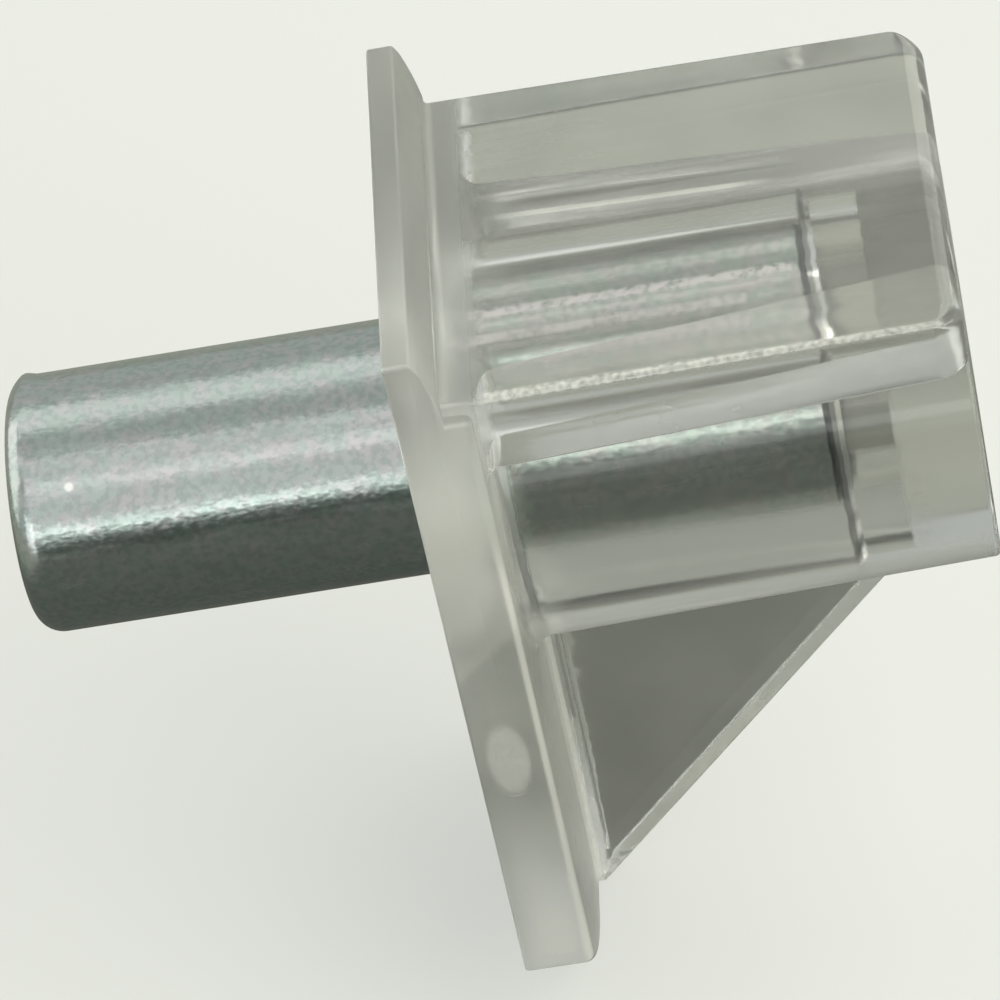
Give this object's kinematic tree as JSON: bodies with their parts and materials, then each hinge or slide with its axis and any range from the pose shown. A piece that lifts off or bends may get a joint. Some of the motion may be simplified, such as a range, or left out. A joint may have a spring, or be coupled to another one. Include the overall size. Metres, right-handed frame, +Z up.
{
  "type": "shelf support pin",
  "caption": "Shelf support: a plated steel pin for a cabinet side hole, held in a clear moulded bracket with a flat seat, a low lip and a triangular rib.",
  "frame": {"origin": "on the pin's axis, in the plane of the bracket's back face that meets the cabinet side", "axes": "-X along the pin into the cabinet side, +X towards the bracket's nose, +Z up out of the shelf seat"},
  "size_m": [0.0185, 0.0096, 0.0179],
  "materials": {
    "clear_plastic": "clear injection-moulded polycarbonate, glossy, faintly grey-green, with fine handling scratches",
    "plated_steel": "bright zinc plating, slightly mottled"
  },
  "bodies": {
    "root": {"support_body": "clear_plastic", "steel_pin": "plated_steel"}
  },
  "joints": []
}
